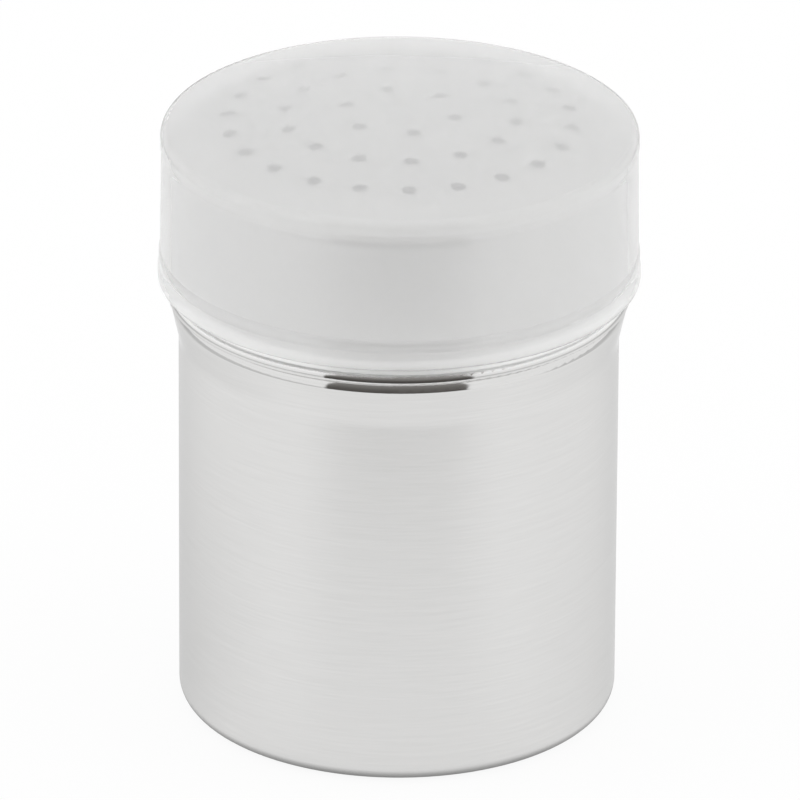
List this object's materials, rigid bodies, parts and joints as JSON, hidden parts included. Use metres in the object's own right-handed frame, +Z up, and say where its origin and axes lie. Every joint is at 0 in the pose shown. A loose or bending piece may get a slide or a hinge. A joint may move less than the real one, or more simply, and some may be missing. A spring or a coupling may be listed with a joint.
{
  "type": "spice shaker",
  "caption": "Countertop spice shaker: a drawn steel cup, a domed steel lid with rings of shaker holes, and a frosted plastic press-on cover.",
  "frame": {"origin": "centre of the plane that the cup stands on", "axes": "+Z up along the axis that every piece is turned about; -Y faces the viewer; +X to the viewer's right"},
  "size_m": [0.0716, 0.0716, 0.0951],
  "materials": {
    "cup_steel": "satin, brushed round the axis",
    "lid_steel": "satin, brushed round the axis",
    "frosted_plastic": "frosted, translucent"
  },
  "bodies": {
    "cup": {"cup": "cup_steel"},
    "lid": {"perforated_lid": "lid_steel"},
    "cover": {"snap_cover": "frosted_plastic"}
  },
  "joints": [
    {"name": "lid_lift", "type": "slide", "parent": "cup", "child": "lid", "axis": [0, 0, 1], "range_m": [0, 0.02]},
    {"name": "cover_lift", "type": "slide", "parent": "lid", "child": "cover", "axis": [0, 0, 1], "range_m": [0, 0.032]}
  ]
}
